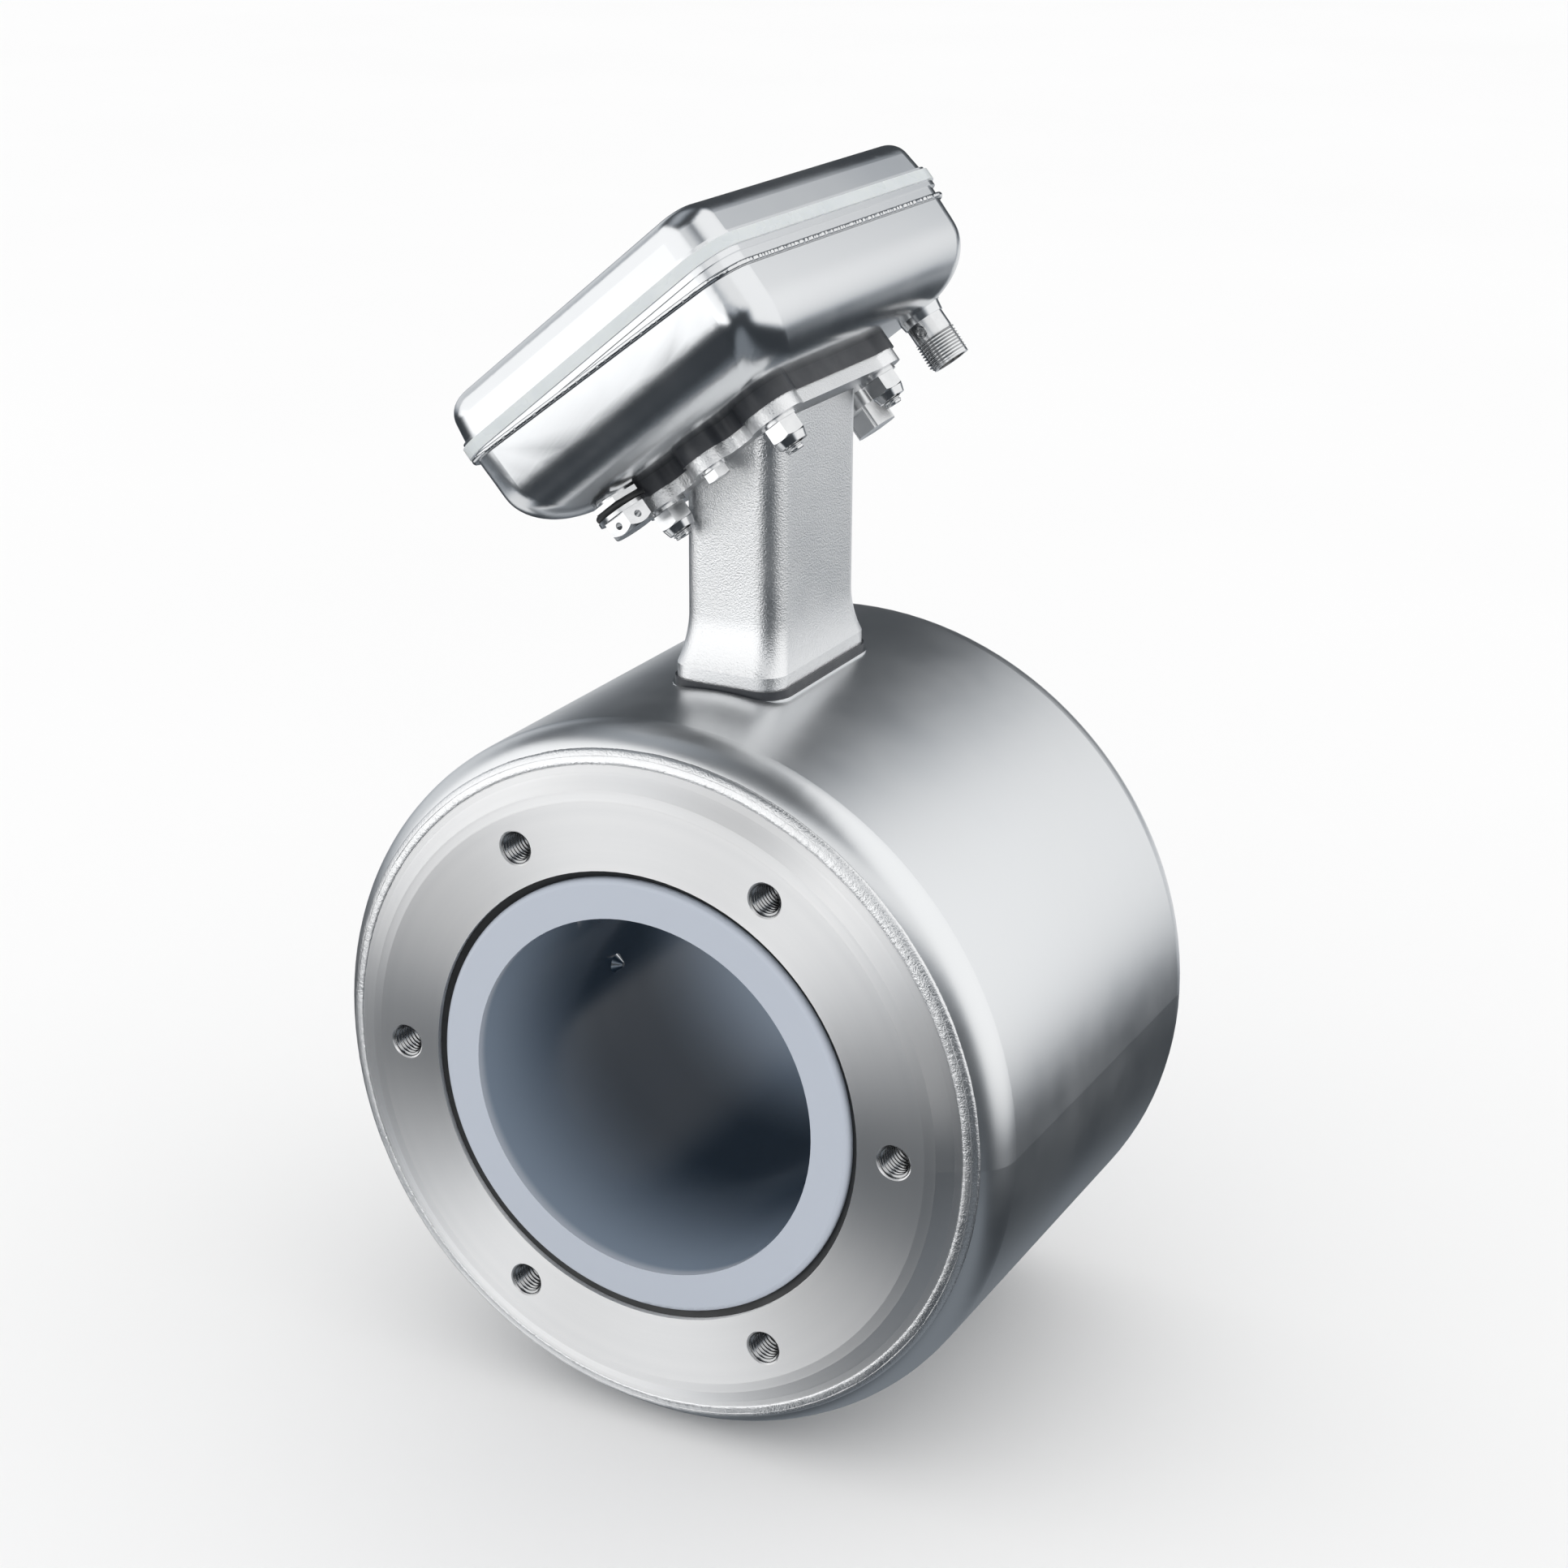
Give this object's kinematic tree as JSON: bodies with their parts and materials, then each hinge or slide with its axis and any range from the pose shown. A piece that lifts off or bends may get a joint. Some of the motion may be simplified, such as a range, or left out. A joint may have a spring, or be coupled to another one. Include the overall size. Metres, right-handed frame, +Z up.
{
  "type": "electromagnetic flow meter",
  "caption": "Electromagnetic flow meter: lined pipe body bolted between flanges, with a cast neck and a sloping display head.",
  "frame": {"origin": "centre of the inlet joint face, on the pipe axis", "axes": "+Y along the flow from the inlet face into the body, +Z up through the neck, +X to the right when facing the inlet, on the side away from the display"},
  "size_m": [0.224, 0.163, 0.3721],
  "materials": {
    "shell_steel": "bead-blasted stainless steel",
    "ring_steel": "turned stainless steel",
    "tube_steel": "plain stainless tube",
    "liner_plastic": "translucent bluish-white plastic",
    "seal_rubber": "black rubber",
    "gasket_rubber": "black moulded rubber",
    "cast_steel": "blasted investment casting",
    "head_steel": "satin stainless sheet",
    "band_silicone": "translucent grey silicone",
    "window_glass": "flat clear glass",
    "fastener_steel": "plain stainless fasteners",
    "fitting_steel": "bright turned metal",
    "contact_plastic": "black plastic",
    "contact_gold": "gold-plated contacts",
    "coil_copper": "enamelled copper winding",
    "magnet_iron": "soft iron",
    "electrode_steel": "polished stainless steel",
    "display_black": "dark display module",
    "board_green": "circuit board",
    "standoff_brass": "brass standoffs"
  },
  "bodies": {
    "root": {"band_seal": "band_silicone", "blanking_plug": "fitting_steel", "connector_body": "fitting_steel", "connector_insert": "contact_plastic", "connector_nut": "fitting_steel", "connector_pins": "contact_gold", "display_module": "display_black", "flux_band": "magnet_iron", "foot_screw_1": "fastener_steel", "foot_screw_2": "fastener_steel", "foot_screw_3": "fastener_steel", "foot_screw_4": "fastener_steel", "head_gasket": "gasket_rubber", "head_lid": "head_steel", "head_tub": "head_steel", "inlet_ring": "ring_steel", "inlet_seal": "seal_rubber", "left_electrode": "electrode_steel", "left_electrode_bush": "contact_plastic", "left_electrode_nut": "electrode_steel", "lid_screws": "fastener_steel", "liner": "liner_plastic", "lock_nut_1": "fastener_steel", "lock_nut_2": "fastener_steel", "lock_nut_3": "fastener_steel", "lock_nut_4": "fastener_steel", "lower_coil": "coil_copper", "lower_pole_shoe": "magnet_iron", "main_board": "board_green", "measuring_tube": "tube_steel", "neck": "cast_steel", "neck_gasket": "gasket_rubber", "outer_shell": "shell_steel", "outlet_ring": "ring_steel", "outlet_seal": "seal_rubber", "plug_ring": "seal_rubber", "right_electrode": "electrode_steel", "right_electrode_bush": "contact_plastic", "right_electrode_nut": "electrode_steel", "small_screw_1": "fastener_steel", "small_screw_2": "fastener_steel", "small_washer_1": "fastener_steel", "small_washer_2": "fastener_steel", "standoffs": "standoff_brass", "stud_1": "fastener_steel", "stud_2": "fastener_steel", "stud_3": "fastener_steel", "stud_4": "fastener_steel", "upper_coil": "coil_copper", "upper_pole_shoe": "magnet_iron", "vent_plug": "fitting_steel", "vent_ring": "seal_rubber", "washer_1": "fastener_steel", "washer_2": "fastener_steel", "washer_3": "fastener_steel", "washer_4": "fastener_steel", "window": "window_glass"}
  },
  "joints": []
}
